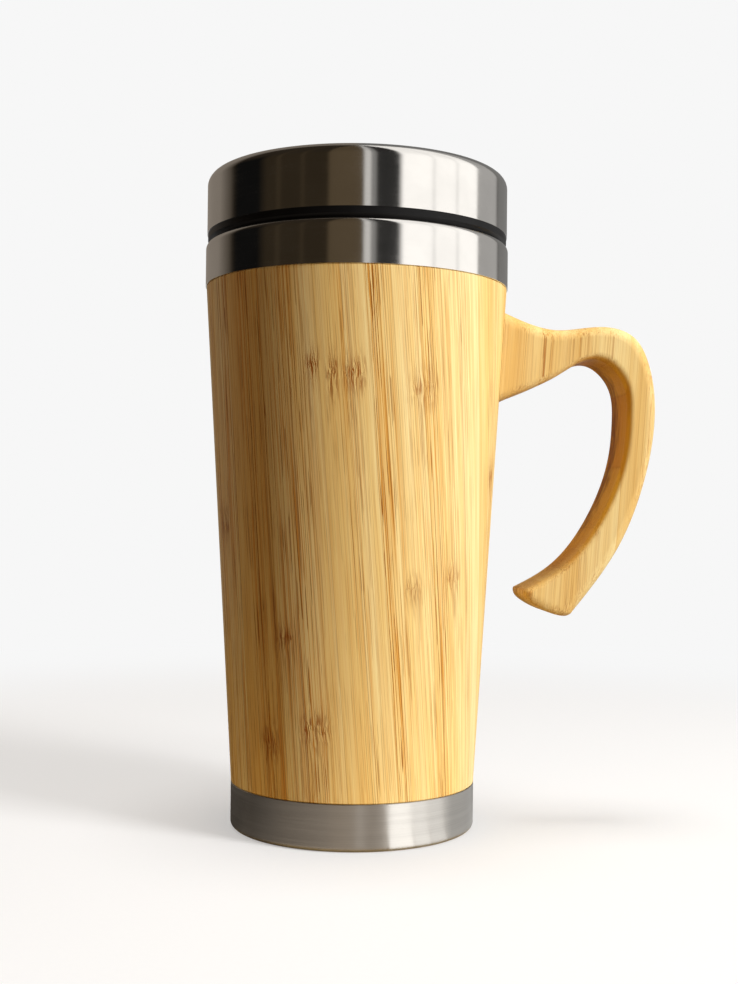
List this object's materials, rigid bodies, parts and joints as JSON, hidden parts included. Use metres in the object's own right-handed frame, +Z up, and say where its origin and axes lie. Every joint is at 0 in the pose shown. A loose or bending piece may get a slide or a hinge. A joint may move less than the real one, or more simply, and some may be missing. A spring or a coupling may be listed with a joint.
{
  "type": "bamboo travel mug",
  "caption": "Tapered travel mug with a bamboo sleeve and handle over a steel liner, steel collar and base, and a press-in lid with a sliding drink cover.",
  "frame": {"origin": "centre of the base, on the surface that the mug stands on", "axes": "+Z up along the mug's axis, +X towards the handle, -Y towards the drink hole"},
  "size_m": [0.1269, 0.085, 0.181],
  "materials": {
    "bamboo": "satin lacquer",
    "handle_bamboo": "satin lacquer",
    "polished_steel": "polished",
    "brushed_steel": "brushed",
    "screw_steel": "plain",
    "black_plastic": "semi-gloss",
    "slide_plastic": "fine grain",
    "silicone": "matte, translucent white"
  },
  "bodies": {
    "mug": {"base_cap": "brushed_steel", "bamboo_sleeve": "bamboo", "mouth_collar": "polished_steel", "steel_liner": "brushed_steel", "handle": "handle_bamboo", "handle_screws": "screw_steel"},
    "lid": {"lid_body": "black_plastic", "lid_ring": "polished_steel", "lid_gasket": "silicone"},
    "drink_slide": {"thumb_slide": "slide_plastic", "slide_seal": "silicone", "slide_clip": "slide_plastic"}
  },
  "joints": [
    {"name": "lid_lift", "type": "slide", "parent": "mug", "child": "lid", "axis": [0, 0, 1], "range_m": [0, 0.08]},
    {"name": "slide_open", "type": "slide", "parent": "lid", "child": "drink_slide", "axis": [0, 1, 0], "range_m": [0, 0.013]}
  ]
}
